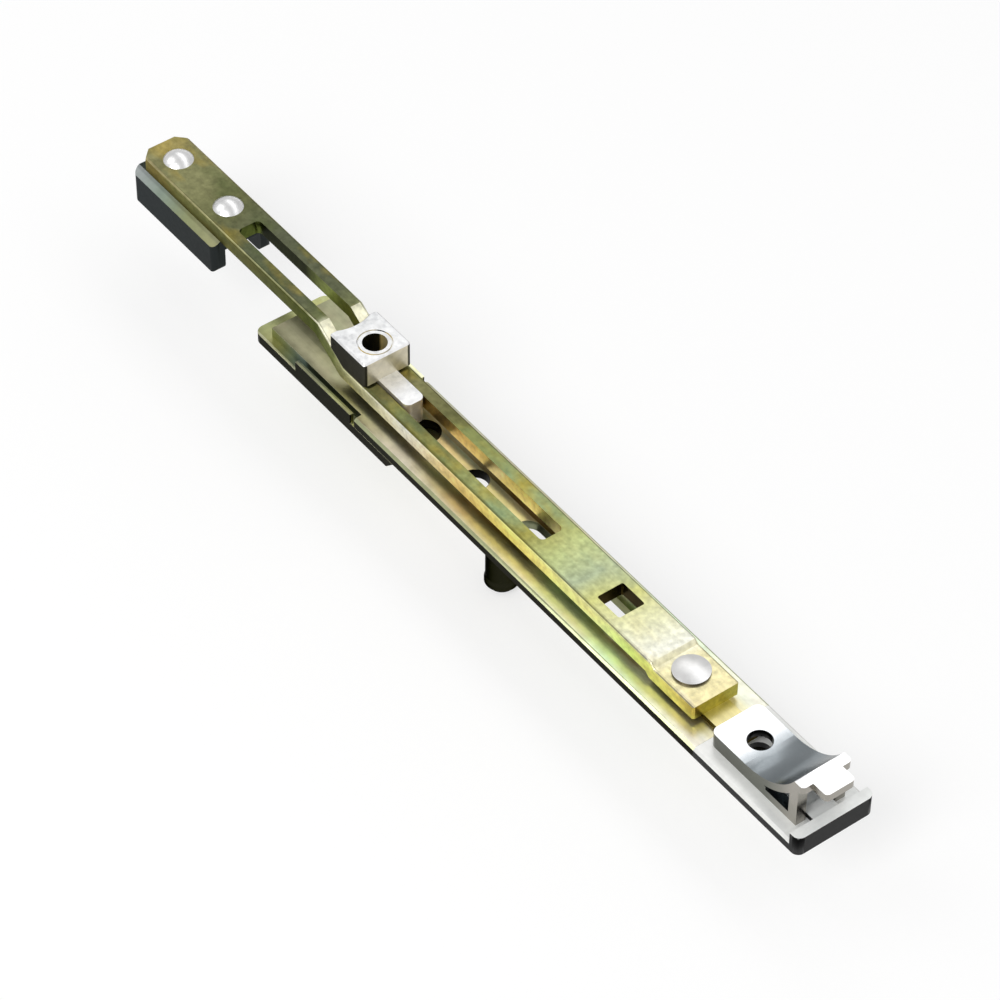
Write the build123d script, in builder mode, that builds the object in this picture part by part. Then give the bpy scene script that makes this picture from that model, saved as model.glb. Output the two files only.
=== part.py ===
import os
from math import asin, atan2, cos, sin, tan

from build123d import *

# Drive-rod and faceplate section of a tilt and turn window gear.
# Millimetres.  X runs along the strip, Y across it, +Z up towards the drive rod.
# The origin is on the axis of the guide block's screw hole, at the faceplate's inner face.

# Faceplate strip
plate_width = 16.0
plate_thickness = 2.0
plate_edge_chamfer = 0.5
plate_shoulder_x = 4.6
plate_end_x = 98.1
tongue_start_x = -22.5
tongue_width = 12.6
tail_length = 15.4
tail_width = 8.0
tail_thickness = 0.9
tail_fit = 0.05
screw_diameter = 4.5
fixing_hole_x = 28.9
fixing_hole_diameter = 5.0
clear_hole_x = 14.4
clear_hole_diameter = 5.8
drive_slot_start_x = 41.4
drive_slot_end_x = 86.0
drive_slot_width = 5.0

# Join plate clasped under the faceplate's tongue
join_start_x = -25.8
join_length = 41.6
join_thickness = 2.0
join_corner_radius = 1.8
join_end_bevel = 1.8
clasp_start_x = -13.0
clasp_length = 16.4
clasp_thickness = 0.8

# Drive rod
rod_width = 9.6
rod_thickness = 2.8
rod_edge_radius = 0.5
rod_start_x = -66.0
rod_end_x = 94.0
rod_raised_height = 6.6
rod_low_height = 1.8
rod_nose_height = 1.0
joggle_start_x = -10.4
joggle_end_x = -2.9
nose_bend_x = 82.7
nose_bend_length = 0.9
rod_corner_cut = 1.4
rod_nose_cut = 0.25
joggle_outer_radius = 5.4
joggle_inner_radius = 2.6
nose_bend_radius = 0.4
rod_slot_start_x = -38.4
rod_slot_end_x = 50.5
rod_slot_width = 4.6
rod_slot_corner = 0.9
drive_hole_x = 68.95
drive_hole_length = 5.9
drive_hole_width = 5.4
drive_hole_corner = 0.4

# Coupling shoe and its rivets
shoe_start_x = -66.3
shoe_length = 25.9
shoe_width = 12.6
shoe_wall = 2.5
shoe_web = 2.5
shoe_drop = 7.2
shoe_shoulder = 1.5
shoe_shoulder_height = 1.2
shoe_foot_radius = 1.4
shoe_corner_radius = 1.3
coupling_rivet_x = -60.45
coupling_rivet_pitch = 15.8
coupling_rivet_shank = 3.0
coupling_rivet_head = 5.6
coupling_rivet_dome = 1.3
coupling_rivet_tail = 4.4
coupling_rivet_tail_height = 0.6

# Guide block
block_start_x = -6.5
block_length = 10.2
block_width = 10.0
block_underside = 5.0
block_height = 5.2
block_corner_radius = 0.5
block_hollow_depth = 0.8
block_hollow_width = 7.0
block_slope_run = 3.85
block_slope_rise = 2.3
block_ring_diameter = 6.4
block_ring_depth = 0.25
block_edge_chamfer = 0.3
stem_length = 17.6
stem_clearance = 0.3
stem_height = 5.2
stem_corner_radius = 1.2
stem_inset = 0.9
spigot_diameter = 1.8
spigot_offsets = (1.5, 13.5)

# Guide tongue and its rivet at the rod's nose
strip_width = 5.3
strip_thickness = 0.9
strip_start_x = 83.5
strip_length = 19.0
strip_corner_radius = 1.0
link_rivet_x = 87.5
link_rivet_shank = 3.2
link_rivet_head = 6.6
link_rivet_dome = 0.5
link_rivet_rim = 0.45

# End casting
casting_length = 26.2
lip_length = 2.1
lip_height = 2.1
casting_corner_radius = 1.4
casting_boss_x = 118.9
casting_boss_length = 3.2
casting_boss_width = 5.2
casting_boss_height = 1.0
casting_rivet_offsets = (2.2, 12.2)
casting_rivet_diameter = 2.6

# Hook bridge on the end casting
bridge_inset_x = 0.6
bridge_width = 10.2
bridge_deck_height = 3.0
bridge_deck_thickness = 1.5
bridge_cheek = 2.0
bridge_cheek_length = 14.0
bridge_ramp_start = 8.8
bridge_crest = 20.5
bridge_crest_height = 9.7
bridge_rail_height = 1.6
bridge_leg_offset = 20.6
bridge_leg_length = 2.0
bridge_corner_radius = 1.4
head_thickness = 1.6
head_length = 2.1
head_tongue_length = 3.3
head_tongue_width = 6.0
head_corner_radius = 0.8
bridge_hole_offset = 6.4
bridge_hole_diameter = 4.3

# Guide stud with its roller, under the faceplate
stud_x = 39.2
stud_y = -1.9
stud_shank_diameter = 3.0
stud_seat_depth = 1.3
stud_foot_diameter = 4.8
stud_foot_height = 0.8
roller_diameter = 5.8
roller_foot_diameter = 6.2
roller_foot_height = 0.8
roller_length = 12.2
roller_gap = 0.3
roller_fit = 0.08

# Sizes that follow from the values above
plate_bottom = -plate_thickness
plate_edge = plate_width / 2
rod_edge = rod_width / 2
rod_top = rod_raised_height + rod_thickness
join_bottom = plate_bottom - join_thickness
casting_end_x = plate_end_x + casting_length
bridge_x = plate_end_x + bridge_inset_x
bridge_hole_x = bridge_x + bridge_hole_offset
stem_x = block_start_x + stem_inset
stem_width = rod_slot_width - 2 * stem_clearance
spigot_spots = [(stem_x + offset, 0) for offset in spigot_offsets]
casting_rivet_spots = [(plate_end_x + offset, 0) for offset in casting_rivet_offsets]
coupling_rivet_spots = [(coupling_rivet_x, 0), (coupling_rivet_x + coupling_rivet_pitch, 0)]

# Faceplate: the full strip, a narrower tongue at the left and a thin tail at the right
with BuildPart() as faceplate:
    with BuildSketch(Plane.XY.offset(plate_bottom)):
        with Locations(((plate_shoulder_x + plate_end_x) / 2, 0)):
            Rectangle(plate_end_x - plate_shoulder_x, plate_width)
    extrude(amount=plate_thickness)
    chamfer(faceplate.edges().filter_by(Axis.X).group_by(Axis.Z)[-1], plate_edge_chamfer)
    with BuildSketch(Plane.XY.offset(plate_bottom)):
        with Locations(((tongue_start_x + plate_shoulder_x) / 2, 0)):
            Rectangle(plate_shoulder_x - tongue_start_x, tongue_width)
    extrude(amount=plate_thickness)
    with BuildSketch(Plane.XY.offset(plate_bottom)):
        with Locations((plate_end_x + tail_length / 2, 0)):
            Rectangle(tail_length, tail_width)
    extrude(amount=tail_thickness)
    with BuildSketch(Plane.XY.offset(plate_bottom)):
        Circle(screw_diameter / 2)
        with Locations((clear_hole_x, 0)):
            Circle(clear_hole_diameter / 2)
        with Locations((fixing_hole_x, 0)):
            Circle(fixing_hole_diameter / 2)
        with Locations(((drive_slot_start_x + drive_slot_end_x) / 2, 0)):
            SlotOverall(drive_slot_end_x - drive_slot_start_x, drive_slot_width)
        with Locations(*spigot_spots):
            Circle(spigot_diameter / 2)
        with Locations(*casting_rivet_spots):
            Circle(casting_rivet_diameter / 2)
        with Locations((bridge_hole_x, 0)):
            Circle(bridge_hole_diameter / 2)
    extrude(amount=plate_thickness, mode=Mode.SUBTRACT)
    with BuildSketch(Plane.XY.offset(plate_bottom)):
        with Locations((stud_x, stud_y)):
            Circle(stud_shank_diameter / 2)
    extrude(amount=stud_seat_depth, mode=Mode.SUBTRACT)
faceplate.part.label = "faceplate"

# Join plate: lies under the tongue, with a tab folded up on either side of it
with BuildPart() as join_plate:
    with BuildSketch(Plane.XY.offset(join_bottom)) as join_outline:
        with Locations((join_start_x + join_length / 2, 0)):
            Rectangle(join_length, plate_width)
        fillet(join_outline.vertices().group_by(Axis.X)[0], join_corner_radius)
    extrude(amount=join_thickness)
    chamfer(join_plate.edges().filter_by(Axis.Y).group_by(Axis.X)[-1].sort_by(Axis.Z)[0], join_end_bevel)
    tab_x = clasp_start_x + clasp_length / 2
    tab_y = plate_edge - clasp_thickness / 2
    with BuildSketch(Plane.XY.offset(plate_bottom)):
        with Locations((tab_x, tab_y), (tab_x, -tab_y)):
            Rectangle(clasp_length, clasp_thickness)
    extrude(amount=plate_thickness)
    with BuildSketch(Plane.XY.offset(join_bottom)):
        Circle(screw_diameter / 2)
    extrude(amount=join_thickness, mode=Mode.SUBTRACT)
join_plate.part.label = "join_plate"


def shifted(bend_x, drop, run):
    """Where the underside bends, so that the bar keeps its thickness on the slope."""
    return bend_x - rod_thickness * tan(atan2(drop, run) / 2)


# Drive rod: one flat bar, joggled down past the guide block and again at its nose
joggle_drop = rod_raised_height - rod_low_height
joggle_run = joggle_end_x - joggle_start_x
nose_drop = rod_low_height - rod_nose_height
nose_end_x = nose_bend_x + nose_bend_length
raised_middle = rod_raised_height + rod_thickness / 2
low_middle = rod_low_height + rod_thickness / 2
with BuildPart() as drive_rod:
    with BuildSketch(Plane.XZ.offset(-rod_edge)) as rod_side:
        with BuildLine():
            Polyline((rod_start_x, rod_top), (joggle_start_x, rod_top),
                     (joggle_end_x, rod_low_height + rod_thickness),
                     (nose_bend_x, rod_low_height + rod_thickness),
                     (nose_end_x, rod_nose_height + rod_thickness),
                     (rod_end_x, rod_nose_height + rod_thickness), (rod_end_x, rod_nose_height),
                     (shifted(nose_end_x, nose_drop, nose_bend_length), rod_nose_height),
                     (shifted(nose_bend_x, nose_drop, nose_bend_length), rod_low_height),
                     (shifted(joggle_end_x, joggle_drop, joggle_run), rod_low_height),
                     (shifted(joggle_start_x, joggle_drop, joggle_run), rod_raised_height),
                     (rod_start_x, rod_raised_height), close=True)
        make_face()
        bends = [v for v in rod_side.vertices() if rod_start_x + 1 < v.X < rod_end_x - 1]
        joggle_bends = [v for v in bends if v.X < 0]
        fillet([v for v in bends if v.X > 0], nose_bend_radius)
        fillet([v for v in joggle_bends if not low_middle < v.Y < raised_middle], joggle_outer_radius)
        fillet([v for v in joggle_bends if low_middle < v.Y < raised_middle], joggle_inner_radius)
    extrude(amount=rod_width)
    upper_faces = [f for f in drive_rod.faces() if f.normal_at(f.center()).Z > 0.3]
    rims = [e for f in upper_faces for e in f.edges() if abs(abs(e.center().Y) - rod_edge) < 1e-4]
    fillet(rims, rod_edge_radius)
    with BuildSketch(Plane.XY.offset(-1)):
        with Locations(((rod_slot_start_x + rod_slot_end_x) / 2, 0)):
            RectangleRounded(rod_slot_end_x - rod_slot_start_x, rod_slot_width, rod_slot_corner)
        with Locations((drive_hole_x, 0)):
            RectangleRounded(drive_hole_length, drive_hole_width, drive_hole_corner)
        with Locations(*coupling_rivet_spots):
            Circle(coupling_rivet_shank / 2)
        with Locations((link_rivet_x, 0)):
            Circle(link_rivet_shank / 2)
        for side in (rod_edge, -rod_edge):
            with Locations((rod_start_x, side)):
                Rectangle(2 * rod_corner_cut, 2 * rod_corner_cut, rotation=45)
            with Locations((rod_end_x, side)):
                Rectangle(2 * rod_nose_cut, 2 * rod_nose_cut, rotation=45)
    extrude(amount=rod_top + 2, mode=Mode.SUBTRACT)
drive_rod.part.label = "drive_rod"

# Coupling shoe: a channel under the raised end, with sloped shoulders and a round foot
shoe_top = rod_raised_height
shoe_half = shoe_width / 2
shoe_bottom = shoe_top - shoe_drop
shoe_ceiling = shoe_top - shoe_web
with BuildPart() as coupling_shoe:
    with BuildSketch(Plane.YZ.offset(shoe_start_x)):
        with BuildLine():
            Polyline((-shoe_half, shoe_bottom), (-shoe_half, shoe_top - shoe_shoulder_height),
                     (-shoe_half + shoe_shoulder, shoe_top), (shoe_half - shoe_shoulder, shoe_top),
                     (shoe_half, shoe_top - shoe_shoulder_height), (shoe_half, shoe_bottom),
                     (shoe_half - shoe_wall, shoe_bottom), (shoe_half - shoe_wall, shoe_ceiling),
                     (-shoe_half + shoe_wall, shoe_ceiling), (-shoe_half + shoe_wall, shoe_bottom),
                     close=True)
        make_face()
    extrude(amount=shoe_length)
    with BuildSketch(Plane.XY.offset(shoe_ceiling)):
        with Locations(*coupling_rivet_spots):
            Circle(coupling_rivet_shank / 2)
    extrude(amount=shoe_web, mode=Mode.SUBTRACT)
    feet = coupling_shoe.edges().filter_by(Axis.Y).group_by(Axis.Z)[0]
    fillet(feet.group_by(Axis.X)[-1], shoe_foot_radius)
    with BuildSketch(Plane.XY.offset(shoe_bottom)) as shoe_plan:
        with Locations((shoe_start_x + shoe_length / 2, 0)):
            Rectangle(shoe_length, shoe_width)
        fillet(shoe_plan.vertices(), shoe_corner_radius)
    extrude(amount=shoe_drop, mode=Mode.INTERSECT)
coupling_shoe.part.label = "coupling_shoe"


def dome_section(spot_x, seat, head, dome):
    """Half section of a rivet's domed head above its seat, to be revolved."""
    ball = (head * head / 4 + dome * dome) / (2 * dome)
    half_angle = asin(head / 2 / ball) / 2
    crown = (spot_x + ball * sin(half_angle), seat + dome - ball + ball * cos(half_angle))
    with BuildSketch(Plane.XZ) as section:
        with BuildLine():
            ThreePointArc((spot_x, seat + dome), crown, (spot_x + head / 2, seat))
            Polyline((spot_x + head / 2, seat), (spot_x, seat), (spot_x, seat + dome))
        make_face()
    return section.sketch


# Two rivets hold the shoe under the rod
with BuildPart() as coupling_rivets:
    with BuildSketch(Plane.XY.offset(shoe_ceiling - coupling_rivet_tail_height)):
        with Locations(*coupling_rivet_spots):
            Circle(coupling_rivet_tail / 2)
    extrude(amount=coupling_rivet_tail_height)
    with BuildSketch(Plane.XY.offset(shoe_ceiling)):
        with Locations(*coupling_rivet_spots):
            Circle(coupling_rivet_shank / 2)
    extrude(amount=rod_top - shoe_ceiling)
    for spot_x, spot_y in coupling_rivet_spots:
        add(dome_section(spot_x, rod_top, coupling_rivet_head, coupling_rivet_dome))
        revolve(axis=Axis((spot_x, spot_y, 0), (0, 0, 1)))
coupling_rivets.part.label = "coupling_rivets"

# Guide block: a head over the rod, and a stem in the rod's slot that is riveted to the faceplate
block_end_x = block_start_x + block_length
block_top = block_underside + block_height
with BuildPart() as guide_block:
    with BuildSketch(Plane.XZ.offset(-block_width / 2)):
        with BuildLine():
            Polyline((block_start_x, block_top), (block_end_x, block_top), (block_end_x, block_underside),
                     (block_start_x + block_slope_run, block_underside),
                     (block_start_x, block_underside + block_slope_rise), close=True)
        make_face()
    extrude(amount=block_width)
    fillet(guide_block.edges().filter_by(Axis.Z), block_corner_radius)
    hollow_radius = (block_hollow_width ** 2 / 4 + block_hollow_depth ** 2) / (2 * block_hollow_depth)
    with BuildSketch(Plane.XY.offset(block_underside)):
        with Locations((block_start_x + block_hollow_depth - hollow_radius, 0)):
            Circle(hollow_radius)
    extrude(amount=block_height, mode=Mode.SUBTRACT)
    with BuildSketch():
        with Locations((stem_x + stem_length / 2, 0)):
            RectangleRounded(stem_length, stem_width, stem_corner_radius)
    extrude(amount=stem_height)
    with BuildSketch():
        with Locations(((stem_x + block_end_x) / 2 + stem_inset, 0)):
            Rectangle(block_end_x - stem_x - 4 * stem_inset, stem_width)
    extrude(amount=block_underside + block_slope_rise)
    chamfer(guide_block.faces().sort_by(Axis.Z)[-1].edges(), block_edge_chamfer)
    with BuildSketch(Plane.XY.offset(block_top)):
        Circle(block_ring_diameter / 2)
        Circle(block_ring_diameter / 2 - block_ring_depth, mode=Mode.SUBTRACT)
    extrude(amount=-block_ring_depth, mode=Mode.SUBTRACT)
    with BuildSketch():
        Circle(screw_diameter / 2)
    extrude(amount=block_top, mode=Mode.SUBTRACT)
    with BuildSketch():
        with Locations(*spigot_spots):
            Circle(spigot_diameter / 2)
    extrude(amount=-plate_thickness)
guide_block.part.label = "guide_block"

# Guide tongue: riveted under the rod's nose, it slides in the hook bridge's passage
with BuildPart() as guide_tongue:
    with BuildSketch(Plane.XY.offset(rod_nose_height - strip_thickness)) as strip_outline:
        with Locations((strip_start_x + strip_length / 2, 0)):
            Rectangle(strip_length, strip_width)
        fillet(strip_outline.vertices(), strip_corner_radius)
        with Locations((link_rivet_x, 0)):
            Circle(link_rivet_shank / 2, mode=Mode.SUBTRACT)
    extrude(amount=strip_thickness)
guide_tongue.part.label = "guide_tongue"

# Nose rivet: broad low head on the rod's nose, flush under the tongue
with BuildPart() as nose_rivet:
    with BuildSketch(Plane.XY.offset(rod_nose_height - strip_thickness)):
        with Locations((link_rivet_x, 0)):
            Circle(link_rivet_shank / 2)
    extrude(amount=strip_thickness + rod_thickness)
    with BuildSketch(Plane.XY.offset(rod_nose_height + rod_thickness)):
        with Locations((link_rivet_x, 0)):
            Circle(link_rivet_head / 2)
    extrude(amount=link_rivet_rim)
    add(dome_section(link_rivet_x, rod_nose_height + rod_thickness + link_rivet_rim, link_rivet_head,
                     link_rivet_dome))
    revolve(axis=Axis((link_rivet_x, 0, 0), (0, 0, 1)))
nose_rivet.part.label = "nose_rivet"

# End casting: carries on the strip's section over the tail and ends in a raised lip
with BuildPart() as end_casting:
    with BuildSketch(Plane.XY.offset(plate_bottom)) as casting_outline:
        with Locations((plate_end_x + casting_length / 2, 0)):
            Rectangle(casting_length, plate_width)
        fillet(casting_outline.vertices().group_by(Axis.X)[-1], casting_corner_radius)
    extrude(amount=plate_thickness)
    chamfer(end_casting.edges().filter_by(Axis.X).group_by(Axis.Z)[-1], plate_edge_chamfer)
    with BuildSketch(Plane.XY.offset(-plate_edge_chamfer)) as lip_outline:
        with Locations((casting_end_x - lip_length / 2, 0)):
            Rectangle(lip_length, plate_width)
        fillet(lip_outline.vertices().group_by(Axis.X)[-1], casting_corner_radius)
    extrude(amount=plate_edge_chamfer + lip_height)
    with BuildSketch():
        with Locations((casting_boss_x + casting_boss_length / 2, 0)):
            Rectangle(casting_boss_length, casting_boss_width)
    extrude(amount=casting_boss_height)
    with BuildSketch(Plane.XY.offset(plate_bottom)):
        with Locations((plate_end_x + tail_length / 2, 0)):
            Rectangle(tail_length + 2 * tail_fit, tail_width + 2 * tail_fit)
    extrude(amount=tail_thickness, mode=Mode.SUBTRACT)
    with BuildSketch(Plane.XY.offset(plate_bottom)):
        with Locations(*casting_rivet_spots):
            Circle(casting_rivet_diameter / 2)
        with Locations((bridge_hole_x, 0)):
            Circle(bridge_hole_diameter / 2)
    extrude(amount=plate_thickness, mode=Mode.SUBTRACT)
end_casting.part.label = "end_casting"

# Flush rivets through the casting and the tail
with BuildPart() as casting_rivets:
    with BuildSketch(Plane.XY.offset(plate_bottom)):
        with Locations(*casting_rivet_spots):
            Circle(casting_rivet_diameter / 2)
    extrude(amount=plate_thickness)
casting_rivets.part.label = "casting_rivets"

# Hook bridge: a deck over the tongue's passage that sweeps up to a T-shaped hook head
ramp_rise = bridge_crest_height - bridge_deck_height
ramp_run = bridge_crest - bridge_ramp_start
ramp_radius = (ramp_run ** 2 + ramp_rise ** 2) / (2 * ramp_rise)
ramp_angle = asin(ramp_run / ramp_radius)
ramp_x = bridge_x + bridge_ramp_start
ramp_z = bridge_deck_height + ramp_radius
under_radius = ramp_radius + bridge_deck_thickness
crest_x = bridge_x + bridge_crest
head_end_x = crest_x + head_length
head_bottom = bridge_crest_height - head_thickness
leg_x = bridge_x + bridge_leg_offset
under_angle = asin((leg_x - ramp_x) / under_radius)
cheek_y = (bridge_width - bridge_cheek) / 2


def ramp_point(radius, angle):
    """Point of an arc round the ramp's centre, at an angle from straight down."""
    return ramp_x + radius * sin(angle), ramp_z - radius * cos(angle)


with BuildPart() as hook_bridge:
    with BuildSketch(Plane.XZ.offset(-bridge_width / 2)):
        with BuildLine():
            Polyline(ramp_point(under_radius, 0), (bridge_x, bridge_deck_height - bridge_deck_thickness),
                     (bridge_x, bridge_deck_height), ramp_point(ramp_radius, 0))
            ThreePointArc(ramp_point(ramp_radius, 0), ramp_point(ramp_radius, ramp_angle / 2),
                          (crest_x, bridge_crest_height))
            Polyline((crest_x, bridge_crest_height), (head_end_x, bridge_crest_height),
                     (head_end_x, head_bottom), (leg_x, head_bottom), ramp_point(under_radius, under_angle))
            ThreePointArc(ramp_point(under_radius, under_angle), ramp_point(under_radius, under_angle / 2),
                          ramp_point(under_radius, 0))
        make_face()
    extrude(amount=bridge_width)
    fillet(hook_bridge.edges().filter_by(Axis.Z).group_by(Axis.X)[-1], head_corner_radius)
    with BuildSketch(Plane.XY.offset(head_bottom)) as tongue_outline:
        with Locations((head_end_x + head_tongue_length / 2 - head_corner_radius, 0)):
            Rectangle(head_tongue_length + 2 * head_corner_radius, head_tongue_width)
        fillet(tongue_outline.vertices().group_by(Axis.X)[-1], head_corner_radius)
    extrude(amount=head_thickness)
    with BuildSketch():
        for side in (cheek_y, -cheek_y):
            with Locations((bridge_x + bridge_cheek_length / 2, side)):
                Rectangle(bridge_cheek_length, bridge_cheek)
    extrude(amount=bridge_deck_height - bridge_deck_thickness / 2)
    with BuildSketch():
        for side in (cheek_y, -cheek_y):
            with Locations(((bridge_x + leg_x) / 2, side)):
                Rectangle(leg_x - bridge_x, bridge_cheek)
    extrude(amount=bridge_rail_height)
    with BuildSketch():
        for side in (cheek_y, -cheek_y):
            with Locations((leg_x, side)):
                Rectangle(bridge_leg_length, bridge_cheek)
    extrude(amount=head_bottom)
    outer_corners = [e for e in hook_bridge.edges().filter_by(Axis.Z).group_by(Axis.X)[0]
                     if abs(e.center().Y) > cheek_y]
    fillet(outer_corners, bridge_corner_radius)
    with BuildSketch(Plane.XY.offset(bridge_deck_height)):
        with Locations((bridge_hole_x, 0)):
            Circle(bridge_hole_diameter / 2)
    extrude(amount=-bridge_deck_thickness, mode=Mode.SUBTRACT)
hook_bridge.part.label = "hook_bridge"

# Guide stud: pressed into a blind seat in the faceplate, with a foot that keeps the roller on
roller_top = plate_bottom - roller_gap
roller_bottom = roller_top - roller_length
foot_top = roller_bottom - roller_gap
with BuildPart() as guide_stud:
    with BuildSketch(Plane.XY.offset(foot_top - stud_foot_height)):
        with Locations((stud_x, stud_y)):
            Circle(stud_foot_diameter / 2)
    extrude(amount=stud_foot_height)
    with BuildSketch(Plane.XY.offset(foot_top)):
        with Locations((stud_x, stud_y)):
            Circle(stud_shank_diameter / 2)
    extrude(amount=plate_bottom + stud_seat_depth - foot_top)
    chamfer(guide_stud.edges().group_by(Axis.Z)[0], stud_foot_height / 4)
guide_stud.part.label = "guide_stud"

# Roller: turns on the stud, a little wider at its foot
with BuildPart() as stud_roller:
    with BuildSketch(Plane.XZ.offset(-stud_y)):
        with BuildLine():
            Polyline((stud_x + stud_shank_diameter / 2 + roller_fit, roller_top),
                     (stud_x + stud_shank_diameter / 2 + roller_fit, roller_bottom),
                     (stud_x + roller_foot_diameter / 2, roller_bottom),
                     (stud_x + roller_foot_diameter / 2, roller_bottom + roller_foot_height),
                     (stud_x + roller_diameter / 2, roller_bottom + 2 * roller_foot_height),
                     (stud_x + roller_diameter / 2, roller_top), close=True)
        make_face()
    revolve(axis=Axis((stud_x, stud_y, 0), (0, 0, 1)))
stud_roller.part.label = "stud_roller"

os.makedirs("parts", exist_ok=True)
pieces = (faceplate, join_plate, guide_block, end_casting, casting_rivets, hook_bridge, guide_stud,
          stud_roller, drive_rod, coupling_shoe, coupling_rivets, guide_tongue, nose_rivet)
for piece in pieces:
    export_step(piece.part, f"parts/{piece.part.label}.step")
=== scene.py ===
import bpy
import numpy as np
from mathutils import Matrix, Vector


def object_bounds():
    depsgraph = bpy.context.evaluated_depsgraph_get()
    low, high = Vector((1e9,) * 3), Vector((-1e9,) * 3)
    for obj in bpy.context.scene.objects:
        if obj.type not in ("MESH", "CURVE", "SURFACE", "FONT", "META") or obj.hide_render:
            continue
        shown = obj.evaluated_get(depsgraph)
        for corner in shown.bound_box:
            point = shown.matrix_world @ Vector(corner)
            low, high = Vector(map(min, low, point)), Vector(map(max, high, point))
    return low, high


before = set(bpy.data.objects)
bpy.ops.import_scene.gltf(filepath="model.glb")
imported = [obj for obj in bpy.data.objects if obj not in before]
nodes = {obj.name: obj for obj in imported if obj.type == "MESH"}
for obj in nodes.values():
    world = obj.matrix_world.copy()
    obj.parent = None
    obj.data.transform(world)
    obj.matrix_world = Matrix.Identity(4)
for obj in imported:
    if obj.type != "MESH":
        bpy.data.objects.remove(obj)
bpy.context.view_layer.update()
print("frame loaded:", len(nodes), "nodes")


def linearColor(hexText):  # sRGB hex to the linear colour that the shaders take
    channels = np.array([int(hexText[i:i + 2], 16) / 255 for i in (1, 3, 5)])
    linear = np.where(channels <= 0.04045, channels / 12.92, ((channels + 0.055) / 1.055) ** 2.4)
    return (*linear.tolist(), 1.0)


def addNode(tree, kind, inputs, **settings):  # inputs: what each socket takes, a value or another socket
    node = tree.nodes.new("ShaderNode" + kind)
    for name, value in settings.items():
        setattr(node, name, value)
    sockets = inputs if isinstance(inputs, dict) else dict(enumerate(inputs))
    for name, value in sockets.items():
        if isinstance(value, bpy.types.NodeSocket):
            tree.links.new(value, node.inputs[name])
        else:
            node.inputs[name].default_value = value
    return node


share, under, over, mixed = 0, 6, 7, 2  # the sockets of a Mix node that is set to colours

# Each pattern's noise: its detail, and the two noise levels that stand for its low and high end.
noiseCut = {"sway": (3.0, 0.3, 0.7), "veil": (4.0, 0.5, 0.66), "sideVeil": (2.0, 0.46, 0.56),
            "lines": (2.0, 0.3, 0.7), "grain": (4.0, 0.3, 0.7), "mottle": (5.0, 0.3, 0.7)}


# A noise with features of about sizeMm, as a value from low to high. A stretch under 1 draws it out along X.
def cloud(tree, place, pattern, sizeMm, low, high, stretch=1.0):
    detail, lowCut, highCut = noiseCut[pattern]
    drawn = addNode(tree, "Mapping", {"Vector": place, "Scale": (stretch, 1, 1)}).outputs[0]
    noise = {"Vector": drawn, "Scale": 1000 / sizeMm, "Detail": detail}
    value = addNode(tree, "TexNoise", noise).outputs[0]
    return addNode(tree, "MapRange", (value, lowCut, highCut, low, high)).outputs[0]


def toneAlong(tree, along, stops):  # the tone at each place along X: stops of (mm, hex), or one hex for all
    if isinstance(stops, str):
        return linearColor(stops)
    first, last = stops[0][0], stops[-1][0]
    run = addNode(tree, "MapRange", (along, first / 1000, last / 1000)).outputs[0]
    ramp = addNode(tree, "ValToRGB", (run,))
    elements = ramp.color_ramp.elements
    while len(elements) < len(stops):
        elements.new(0.5)  # its real place is set below
    for element, (mm, hexText) in zip(elements, stops):
        element.position = (mm - first) / (last - first)
        element.color = linearColor(hexText)
    return ramp.outputs[0]


# How faces are told apart: flatness is 1 on a flat face, 0 on an upright one, 0.7 on a slope of 45 degrees.
skin = {"uprightTo": 0.35, "flatFrom": 0.62, "broken": 0.72, "brokenSpan": 0.17, "innerFadeMm": 0.2,
        "boreFromMm": 0.04, "boreToMm": 0.1, "bumpMm": 0.05}


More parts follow.
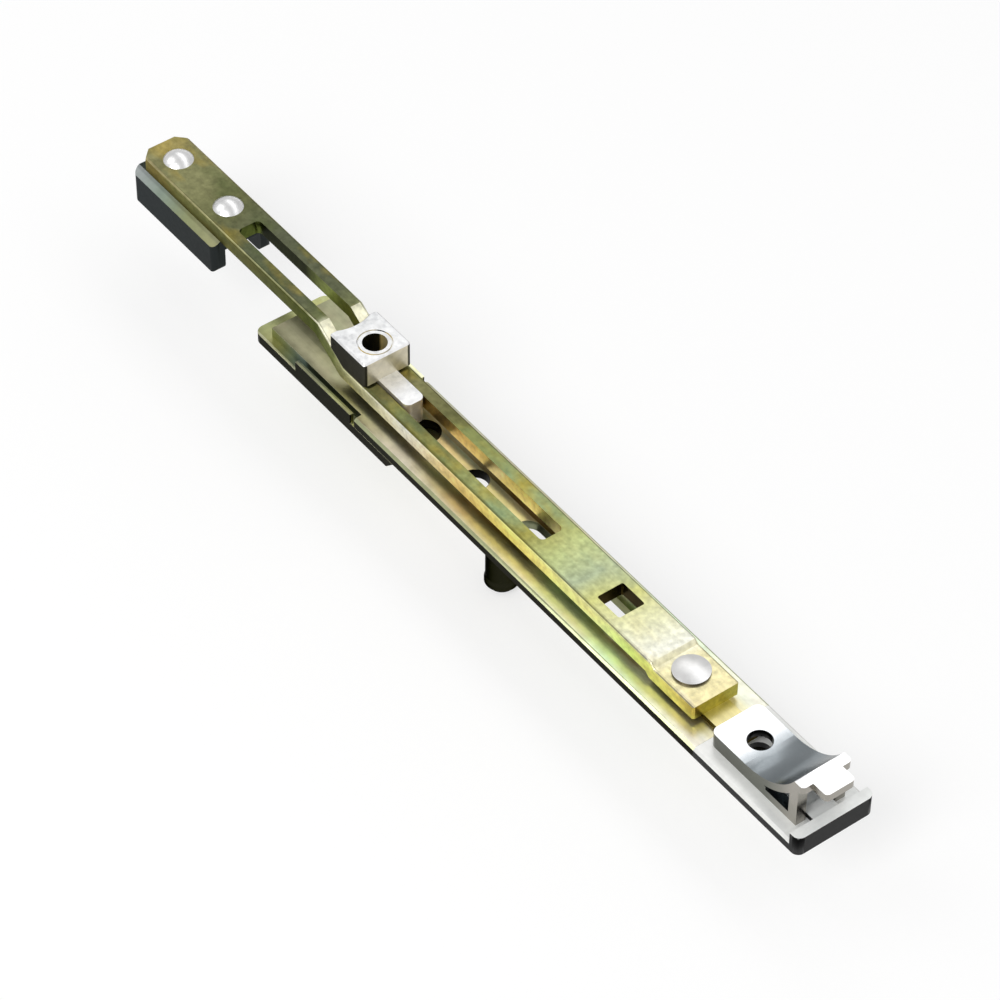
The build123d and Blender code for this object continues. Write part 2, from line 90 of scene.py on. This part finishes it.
# Flat faces take look["top"]. A band covers them out to reachMm on both sides of the centre line, and veils
# of other tones lie over it in patches; these bands paint shade and light that go with the distance from the
# centre line, such as painted shade beside the rod. Upright faces take look["side"], with its own veils, or
# look["inner"] where they lie nearer the centre line than innerMm; as these tones go by which way a face
# looks, they are painted shade and painted reflection where they differ from the tops. Broken edges, and
# slopes as steep as they are, take look["edge"] by the share edgeMix: mostly a painted highlight, on some
# stretches a painted dark line. The glance is the tint of what the metal mirrors at a low angle.
def metalSkin(look):
    material = bpy.data.materials.new(look["finish"])
    material.use_nodes = True
    tree = material.node_tree
    tree.nodes.clear()
    coords = addNode(tree, "TexCoord", ())
    place = coords.outputs["Object"]
    spot = addNode(tree, "SeparateXYZ", (place,)).outputs
    facing = addNode(tree, "SeparateXYZ", (coords.outputs["Normal"],)).outputs["Z"]
    flatness = addNode(tree, "Math", (facing,), operation="ABSOLUTE").outputs[0]
    offCentre = addNode(tree, "Math", (spot["Y"],), operation="ABSOLUTE").outputs[0]

    swayM = look["swayMm"] / 1000
    sway = cloud(tree, place, "sway", look["cloudMm"], -swayM, swayM)
    along = addNode(tree, "Math", (spot["X"], sway), operation="ADD").outputs[0]
    top = toneAlong(tree, along, look["top"])
    for reachMm, fadeMm, stops in look["bands"]:
        near = addNode(tree, "MapRange", (offCentre, (reachMm + fadeMm) / 1000, reachMm / 1000)).outputs[0]
        cover = {share: near, under: top, over: toneAlong(tree, spot["X"], stops)}
        top = addNode(tree, "Mix", cover, data_type="RGBA").outputs[mixed]
    for sizeMm, stretch, strength, stops in look["veils"]:
        veil = cloud(tree, place, "veil", sizeMm, 0.0, strength, stretch)
        cover = {share: veil, under: top, over: toneAlong(tree, along, stops)}
        top = addNode(tree, "Mix", cover, data_type="RGBA").outputs[mixed]

    side = toneAlong(tree, along, look["side"])
    for sizeMm, stretch, strength, stops in look["sideVeils"]:
        veil = cloud(tree, place, "sideVeil", sizeMm, 0.0, strength, stretch)
        cover = {share: veil, under: side, over: toneAlong(tree, along, stops)}
        side = addNode(tree, "Mix", cover, data_type="RGBA").outputs[mixed]
    if "inner" in look:
        innerM = look["innerMm"] / 1000
        fadedM = innerM + skin["innerFadeMm"] / 1000
        near = addNode(tree, "MapRange", (offCentre, fadedM, innerM)).outputs[0]
        cover = {share: near, under: side, over: toneAlong(tree, spot["X"], look["inner"])}
        side = addNode(tree, "Mix", cover, data_type="RGBA").outputs[mixed]

    flat = addNode(tree, "MapRange", (flatness, skin["uprightTo"], skin["flatFrom"])).outputs[0]
    body = addNode(tree, "Mix", {share: flat, under: side, over: top}, data_type="RGBA").outputs[mixed]
    slope = (flatness, skin["broken"], skin["brokenSpan"])
    broken = addNode(tree, "Math", slope, operation="COMPARE").outputs[0]
    broken = addNode(tree, "Math", (broken, look["edgeMix"]), operation="MULTIPLY").outputs[0]
    cover = {share: broken, under: body, over: toneAlong(tree, spot["X"], look["edge"])}
    body = addNode(tree, "Mix", cover, data_type="RGBA").outputs[mixed]
    for boreX, radiusMm in look["bores"]:  # painted shade: the wall of a drilled hole on the centre line is painted dark
        moved = {"Vector": place, "Location": (-boreX / 1000, 0, 0), "Scale": (1, 1, 0)}
        fromAxis = addNode(tree, "Mapping", moved).outputs[0]
        reach = addNode(tree, "VectorMath", (fromAxis,), operation="LENGTH").outputs["Value"]
        clearM, wallM = (radiusMm + skin["boreToMm"]) / 1000, (radiusMm + skin["boreFromMm"]) / 1000
        inside = addNode(tree, "MapRange", (reach, clearM, wallM)).outputs[0]
        cover = {share: inside, under: body, over: linearColor(look["boreShade"])}
        body = addNode(tree, "Mix", cover, data_type="RGBA").outputs[mixed]

    lines = cloud(tree, place, "lines", look["lineMm"], 0.0, 1.0, look["lineStretch"])
    grain = cloud(tree, place, "grain", look["grainMm"], 0.0, 1.0)
    shade = addNode(tree, "MapRange", (lines, 0.0, 1.0, 1.0 - look["lineDepth"], 1.0)).outputs[0]
    darkest, brightest = 1.0 - look["mottleDepth"], 1.0 + look["mottleDepth"]
    mottle = cloud(tree, place, "mottle", look["mottleMm"], darkest, brightest)
    shade = addNode(tree, "Math", (shade, mottle), operation="MULTIPLY").outputs[0]
    tone = addNode(tree, "VectorMath", {0: body, "Scale": shade}, operation="SCALE").outputs[0]
    smoothest, dullest = look["rough"] - look["roughSpan"], look["rough"] + look["roughSpan"]
    gloss = addNode(tree, "MapRange", (grain, 0.0, 1.0, smoothest, dullest)).outputs[0]
    height = addNode(tree, "Math", (lines, grain), operation="ADD").outputs[0]
    relief = {"Strength": look["bump"], "Distance": skin["bumpMm"] / 1000, "Height": height}
    bump = addNode(tree, "Bump", relief).outputs[0]
    surface = {"Metallic": look["metallic"], "Base Color": tone, "Roughness": gloss,
               "Specular Tint": linearColor(look["glance"]), "Normal": bump}
    shader = addNode(tree, "BsdfPrincipled", surface)
    addNode(tree, "OutputMaterial", {"Surface": shader.outputs[0]})
    return material


# Zinc-plated steel strip under a yellow chromate film, rolled and stamped. The film's thickness wanders, so
# olive, straw, cream and a little pink and green run into each other. Its rolling lines, and both metals'
# grain, are drawn coarser than they are, so that they show.
# The pale edge tone is a painted highlight on broken edges, and the bore tone is painted shade on the walls
# of holes.
chromate = {"facets": 1, "edge": "#E6DFA0", "edgeMix": 0.6, "bands": (), "veils": (), "sideVeils": (),
            "cloudMm": 22.0, "swayMm": 3.0, "lineMm": 0.45, "lineStretch": 0.02, "lineDepth": 0.08,
            "grainMm": 0.4, "mottleMm": 2.4, "mottleDepth": 0.12, "rough": 0.33, "roughSpan": 0.04,
            "bump": 0.03, "metallic": 1.0, "glance": "#C8C8C8", "bores": (), "boreShade": "#0C0C08"}
# Cast zinc: a dull crystalline skin, mottled over a millimetre or two, with no drawn lines. The turned and
# cold-headed steel pieces start from it too, with their own tones and gloss. Sharp edges have a breakMm of 0.
# The white edge tone is a painted highlight on broken edges, and the bore tone is painted shade on the walls
# of holes.
castZinc = {"breakMm": 0.0, "facets": 3, "edge": "#FFFFFF", "edgeMix": 0.5, "bands": (), "veils": (),
            "sideVeils": (), "cloudMm": 3.0, "swayMm": 0.5, "lineMm": 1.2, "lineStretch": 1.0,
            "lineDepth": 0.05, "grainMm": 0.5, "mottleMm": 1.6, "mottleDepth": 0.06, "rough": 0.36,
            "roughSpan": 0.04, "bump": 0.05, "metallic": 1.0, "glance": "#FFFFFF", "bores": (),
            "boreShade": "#060606"}

looks = {
    # The tone along the rod mixes the film's own colour with painted reflection of the lamps: olive on the
    # raised end, cream towards the nose, and a painted highlight on the joggle's slope.
    "drive_rod": chromate | {
        "finish": "yellow chromate rod", "breakMm": 0.16, "mottleMm": 1.1, "mottleDepth": 0.2,
        "top": [(-66, "#8E8C62"), (-63, "#9A966C"), (-60, "#807E58"), (-52, "#8A8A62"), (-44, "#6C6E4A"),
                (-34, "#626650"), (-18, "#60644C"), (-12.4, "#767A54"), (-10.4, "#FAF8DC"), (-6, "#EEEACC"),
                (-2.6, "#5C5E40"), (5, "#84825A"), (17, "#6C6C46"), (27, "#82824F"), (36, "#A0A062"),
                (47, "#A29C52"), (54, "#C0CA8C"), (62, "#B2BE9C"), (68, "#D0D086"), (75, "#E6E6BA"),
                (82, "#F8F8EA"), (85, "#F4ECBC"), (94, "#F4E8B4")],
        "veils": ((6.0, 0.5, 0.7, [(-66, "#B4A058"), (-50, "#A08C3C"), (40, "#B8A648"), (60, "#D0D8A0"),
                                   (94, "#F8E2B8")]),
                  (8.0, 0.6, 0.65, [(-66, "#56603A"), (-12, "#4E5A34"), (30, "#7E9468"), (60, "#98BCA0"),
                                    (94, "#FFF2EC")])),
        # The edge tones paint a highlight along the raised end, on the joggle's slope and on the nose's step,
        # and a dark line along the low part and the nose.
        "edge": [(-66, "#ECDCA4"), (-44, "#C8C490"), (-14, "#B4B480"), (-11, "#FFFCE0"), (-5, "#F4F0D0"),
                 (-1, "#54501F"), (81.6, "#484418"), (82.2, "#ECE8C4"), (84.1, "#E8DFAE"),
                 (84.8, "#484418"), (94, "#3C380E")],
        # Painted reflection and painted shade on the sides, and on the patches over them: dark olive along
        # the raised end, bright cream to straw along the low part.
        "side": [(-66, "#8E8648"), (-46, "#787A48"), (-34, "#62643C"), (-12, "#545A26"), (-6, "#8A905C"),
                 (1, "#ECE8B8"), (11, "#FFFFE4"), (17, "#F4FFF8"), (24, "#FFF8C8"), (33, "#FFE69E"),
                 (46, "#FFFC9C"), (68, "#FFFFC0"), (80, "#E2E68A"), (91, "#FCEE88"), (94, "#B4AC56")],
        "sideVeils": ((5.0, 0.25, 0.45, [(-66, "#8C6E38"), (-12, "#4E5C24"), (4, "#F0ECD0"),
                                         (16, "#FFF4E4"), (28, "#F8D49C"), (44, "#F2DE82"),
                                         (60, "#F8F0A0"), (94, "#C09C48")]),),
        "innerMm": 2.75,
        # Upright faces near the centre line are painted: dark shade on the raised slot's walls and on the
        # drive hole's, and a bright straw reflection on the low slot's walls.
        "inner": [(-38, "#58622E"), (-37, "#2A2E18"), (-24, "#262A14"), (-17, "#8C9654"), (-12, "#6A7036"),
                  (10, "#8E7A34"), (18, "#FCDC94"), (46, "#FFF2A4"), (58, "#F0E098"), (63, "#3A3014"),
                  (76, "#3A3014"), (84, "#C8B850"), (91, "#D0C058"), (94, "#B4AC56")]},
    # Cream, lighter towards its right end, with painted shade close to the rod's sides and painted light
    # where it shows through the rod's slot.
    "faceplate": chromate | {
        "finish": "yellow chromate faceplate", "breakMm": 0.14,
        "top": [(-22, "#A2A082"), (-14, "#B0AC8E"), (2, "#C0BA98"), (14, "#DAD4C2"), (32, "#DACEB4"),
                (42, "#D8D0AC"), (50, "#F4E8CC"), (66, "#ECF4D0"), (77, "#E6FFE0"), (86, "#FAFCE0"),
                (98, "#FAF8EA")],
        # The first band paints shade close to the rod's sides over most of its length; the second paints
        # light along the centre, where the rod's slot opens.
        "bands": ((4.2, 1.2, [(-22, "#A2A082"), (2, "#DCD6B0"), (20, "#F4E4C4"), (31, "#8A7044"),
                              (50, "#6A5A34"), (70, "#626A38"), (84, "#544A2C"), (91, "#F4EEC8")]),
                  (2.4, 0.2, [(-22, "#9A987A"), (6, "#B8B698"), (18, "#FFFFF0"), (50, "#FFFAE8")])),
        "veils": ((6.0, 0.5, 0.3, [(-22, "#B09884"), (98, "#F0D0C0")]),
                  (8.0, 0.4, 0.4, [(-22, "#8E9874"), (98, "#D8F0D0")])),
        # The edge tone is a painted highlight along the near chamfer, and the dark side tone is painted
        # shade.
        "edge": [(3, "#ECECC4"), (5, "#BCC294")], "edgeMix": 0.9,
        "side": [(-22, "#26261C"), (98, "#1E1C14")], "innerMm": 7.0,
        "inner": [(-22, "#8A8E68"), (-14, "#707A78"), (98, "#8E8E58")],
        "bores": ((0.0, 2.25), (14.4, 2.9), (28.9, 2.5), (105.1, 2.15))},
    # Olive with a blue-green haze halfway; a painted highlight runs along both sides, where the pale top
    # shows beyond the band and on the broken edges.
    "join_plate": chromate | {
        "finish": "yellow chromate join plate", "breakMm": 0.3,
        "top": [(-26, "#FFFFDC"), (16, "#FFFFD0")],
        "bands": ((7.45, 0.15, [(-26, "#C4CA94"), (-20, "#C8C68C"), (-15, "#A8B49C"), (16, "#E4DCA0")]),),
        "veils": ((3.0, 0.6, 0.4, [(-26, "#A4AC68"), (-19, "#B4A058"), (-14, "#7E8E94"),
                                   (16, "#A4AC70")]),),
        "edge": "#FFFFD0", "edgeMix": 1.0, "side": [(-26, "#191B0C"), (16, "#23221A")], "innerMm": 7.6,
        "inner": [(-26, "#B0AE70"), (16, "#ACA868")], "bores": ((0.0, 2.25),)},
    # Painted shade darkens it under the rod's nose and on its sides; straw where it comes out.
    "guide_tongue": chromate | {
        "finish": "yellow chromate tongue", "breakMm": 0.1,
        "top": [(83, "#8E7C30"), (96, "#F2E6A8"), (103, "#F0E6B4")],
        "side": [(83, "#4A4018"), (103, "#5E5222")]},
    # Bright as cast, with small grey spots. Its screw hole's wall holds painted shade and a painted
    # reflection of the plated steel, and its dark sides are painted shade.
    "guide_block": castZinc | {
        "finish": "cast zinc block", "breakMm": 0.2, "mottleDepth": 0.12, "metallic": 0.75,
        "glance": "#A0A0A0", "top": [(-7, "#F2F3F3"), (15, "#FCFCFC")],
        "veils": ((1.1, 1.0, 0.5, [(-7, "#C4C5C8"), (15, "#E8E9EA")]),),
        "side": [(-7, "#2C2B21"), (15, "#45443A")], "innerMm": 4.2,
        "inner": [(-7, "#E8E0C8"), (-2.4, "#E8E0C8"), (-2.3, "#1E1D16"), (-1.3, "#2A281C"),
                  (-0.9, "#F0DC98"), (2.3, "#F6E8B4"), (2.6, "#E8E0C8"), (15, "#F2EAD6")]},
    # Passivated dark, and its shoulder goes from blue-grey to olive. A strip of painted shade runs beside the
    # rod, and the edges carry a painted highlight.
    "coupling_shoe": castZinc | {
        "finish": "dark cast zinc shoe", "breakMm": 0.3, "rough": 0.34, "glance": "#CFCFCF",
        "top": [(-67, "#7E8480"), (-54, "#6C7C6C"), (-40, "#84845A")], "bands": ((5.2, 0.2, "#343A34"),),
        "veils": ((3.0, 0.5, 0.4, [(-67, "#6E7466"), (-40, "#7A8466")]),),
        "edge": [(-67, "#C2C6CA"), (-58, "#A0AEA0"), (-50, "#A4A674"), (-41, "#B8B68C")],
        "side": [(-67, "#282E30"), (-40, "#2C3030")]},
    # Silver lacquer hides the casting's skin: pale and even, and it mirrors little. Its black sides are
    # painted shade, and its edges carry a painted highlight.
    "end_casting": castZinc | {
        "finish": "silver-lacquered cast zinc end", "breakMm": 0.25, "facets": 1, "metallic": 0.25,
        "rough": 0.34, "bump": 0.02, "mottleDepth": 0.03, "glance": "#505050", "edge": "#F8F8F4",
        "edgeMix": 0.8, "top": [(94, "#FFFFFC"), (124, "#FAFCFA")], "side": "#060606",
        "bores": ((105.1, 2.15),)},
    # Nickel over zinc, the smoothest piece: clear reflections, with painted reflection that darkens it up the
    # ramp and a painted highlight on its crest.
    "hook_bridge": castZinc | {
        "finish": "bright nickel bridge", "breakMm": 0.2, "cloudMm": 6.0, "lineDepth": 0.0,
        "mottleDepth": 0.02, "rough": 0.23, "roughSpan": 0.03, "bump": 0.01, "edgeMix": 0.0,
        "top": [(99, "#FFFFFF"), (105, "#F6F8FA"), (107, "#C2C8CC"), (109, "#979EA2"), (112, "#939A9E"),
                (115, "#7C8488"), (117.8, "#5C6264"), (118.8, "#6A7074"), (119.4, "#FFFFFF")],
        "side": [(99, "#5A5B54"), (113, "#6E7068"), (119, "#A09C94")], "bores": ((105.1, 2.15),)},
    # Cold-headed steel, near white, with soft reflections over each dome; their grey sides are painted shade.
    "coupling_rivets": castZinc | {
        "finish": "bright steel rivet heads", "rough": 0.32, "roughSpan": 0.02, "bump": 0.04,
        "lineDepth": 0.02, "edgeMix": 0.0, "top": "#FFFFFF", "side": [(-66, "#9A9CA0"), (-40, "#C4C6C8")]},
    # Pressed almost flat, with a satin face; its dark rim is painted shade.
    "nose_rivet": castZinc | {
        "finish": "satin steel nose rivet", "rough": 0.34, "bump": 0.03, "edgeMix": 0.0,
        "top": [(84, "#F6F5F2"), (91, "#FFFFFF")], "side": [(84, "#4A4644"), (91, "#5A5654")]},
    # Plain steel, pressed flush with the strip.
    "casting_rivets": castZinc | {
        "finish": "steel rivet ends", "edge": "#D8D8D4", "top": [(94, "#A8A8A4"), (124, "#C8C8C4")],
        "side": [(94, "#8A8A86"), (124, "#A8A8A4")]},
    # Turned steel, dark and dull.
    "guide_stud": castZinc | {
        "finish": "dark steel stud", "edge": "#6A6A6E", "glance": "#909090",
        "top": [(36, "#2E2E30"), (42, "#4A4A4D")], "side": [(36, "#2E2E30"), (42, "#434346")]},
    # Blackened steel, near black with a trace of olive.
    "stud_roller": castZinc | {
        "finish": "black oxide roller", "edge": "#34362A", "glance": "#909090",
        "top": [(36, "#1C1D16"), (42, "#26271E")], "side": [(36, "#1E2016"), (42, "#28281C")]},
}
# Sharp CAD edges are broken a little: breakMm wide, with so many facets over the edge.
edgeBreak = {"weldMm": 0.002, "sharpDeg": 35}
for nodeName, look in looks.items():
    node = nodes[nodeName]
    node.data.materials.clear()
    node.data.materials.append(metalSkin(look))
    if look["breakMm"]:
        node.modifiers.new("weld", "WELD").merge_threshold = edgeBreak["weldMm"] / 1000
        bevel = node.modifiers.new("broken edge", "BEVEL")
        bevel.width = look["breakMm"] / 1000
        bevel.segments = look["facets"]
        bevel.limit_method = "ANGLE"
        bevel.angle_limit = np.radians(edgeBreak["sharpDeg"])
print("finishes:", len(looks), "with broken edges:", sum(look["breakMm"] > 0 for look in looks.values()))

# Camera, fitted to the photo: position and the point it looks at in metres, roll, lens and sensor in mm.
shot = {"place": (0.4380, -0.3080, 0.5221), "target": (0.03522, 0.00056, 0.0), "rollDeg": 0.66,
        "lensMm": 154.64, "sensorMm": 36.0, "farM": 40.0}


def addCamera():
    eye, target = Vector(shot["place"]), Vector(shot["target"])
    ahead = (target - eye).normalized()
    right = ahead.cross(Vector((0, 0, 1))).normalized()
    up = right.cross(ahead)
    angle = np.radians(shot["rollDeg"])
    tiltedRight = right * np.cos(angle) + up * np.sin(angle)
    tiltedUp = up * np.cos(angle) - right * np.sin(angle)
    camera = bpy.data.objects.new("camera", bpy.data.cameras.new("camera"))
    camera.data.lens = shot["lensMm"]
    camera.data.sensor_width = shot["sensorMm"]
    camera.data.clip_end = shot["farM"]
    turn = Matrix((tiltedRight, tiltedUp, -ahead)).transposed().to_4x4()
    camera.matrix_world = Matrix.Translation(eye) @ turn
    bpy.context.collection.objects.link(camera)
    bpy.context.scene.camera = camera


# Pale floor under the stud's foot, an even pale sky, and lamps: place, what they face, length, width, watts.
# The strip lamp hangs behind the piece, so its flat tops mirror it, as their upright sides do the floor.
studio = {"floor": "#A8A8A8", "floorRough": 0.9, "floorGlow": 0.6, "floorHalf": 12.0, "sky": 0.55,
          "lamps": (("strip lamp", (0.1, 0.50, 0.85), (0.1, 0.0, 0.0), 2.4, 0.34, 2.3),
                    ("side lamp", (-0.62, -0.48, 0.85), (0.0, 0.0, 0.0), 0.7, 0.6, 1.4),
                    ("front lamp", (0.30, -0.85, 0.85), (0.1, 0.0, 0.0), 0.6, 0.6, 6.0))}


def addFloor():
    half = studio["floorHalf"]
    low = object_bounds()[0][2]
    corners = [(x * half, y * half, low) for x, y in ((-1, -1), (1, -1), (1, 1), (-1, 1))]
    floorMesh = bpy.data.meshes.new("floor")
    floorMesh.from_pydata(corners, [], [(0, 1, 2, 3)])
    floor = bpy.data.objects.new("floor", floorMesh)
    bpy.context.collection.objects.link(floor)
    material = bpy.data.materials.new("matt white paper")
    material.use_nodes = True
    tree = material.node_tree
    tree.nodes.clear()
    matt = {"Base Color": linearColor(studio["floor"]), "Roughness": studio["floorRough"]}
    paper = addNode(tree, "BsdfPrincipled", matt)
    path = addNode(tree, "LightPath", ()).outputs  # the camera and what mirrors the paper see it glow
    seen = (path["Is Camera Ray"], path["Is Glossy Ray"])
    seen = addNode(tree, "Math", seen, operation="MAXIMUM").outputs[0]
    seen = addNode(tree, "Math", (seen, path["Is Transmission Ray"]), operation="MAXIMUM").outputs[0]
    glow = addNode(tree, "Math", (seen, studio["floorGlow"]), operation="MULTIPLY").outputs[0]
    light = addNode(tree, "Emission", {"Strength": glow})
    both = addNode(tree, "AddShader", (paper.outputs[0], light.outputs[0]))
    addNode(tree, "OutputMaterial", {"Surface": both.outputs[0]})
    floorMesh.materials.append(material)


def addLight():
    world = bpy.data.worlds.new("pale sky")
    world.use_nodes = True
    bpy.context.scene.world = world
    sky = world.node_tree.nodes["Background"]
    sky.inputs["Color"].default_value = (1, 1, 1, 1)
    sky.inputs["Strength"].default_value = studio["sky"]
    for name, where, facing, length, width, watts in studio["lamps"]:
        lamp = bpy.data.objects.new(name, bpy.data.lights.new(name, "AREA"))
        lamp.data.shape = "RECTANGLE"
        lamp.data.size = length
        lamp.data.size_y = width
        lamp.data.energy = watts
        back = (Vector(where) - Vector(facing)).normalized()
        across = Vector((0, 1, 0)).cross(back).normalized()
        turn = Matrix((across, back.cross(across), back)).transposed().to_4x4()
        lamp.matrix_world = Matrix.Translation(where) @ turn
        bpy.context.collection.objects.link(lamp)


addCamera()
addFloor()
addLight()
bpy.context.scene.view_settings.view_transform = "Standard"
print("camera, floor and", len(studio["lamps"]), "lamps set")
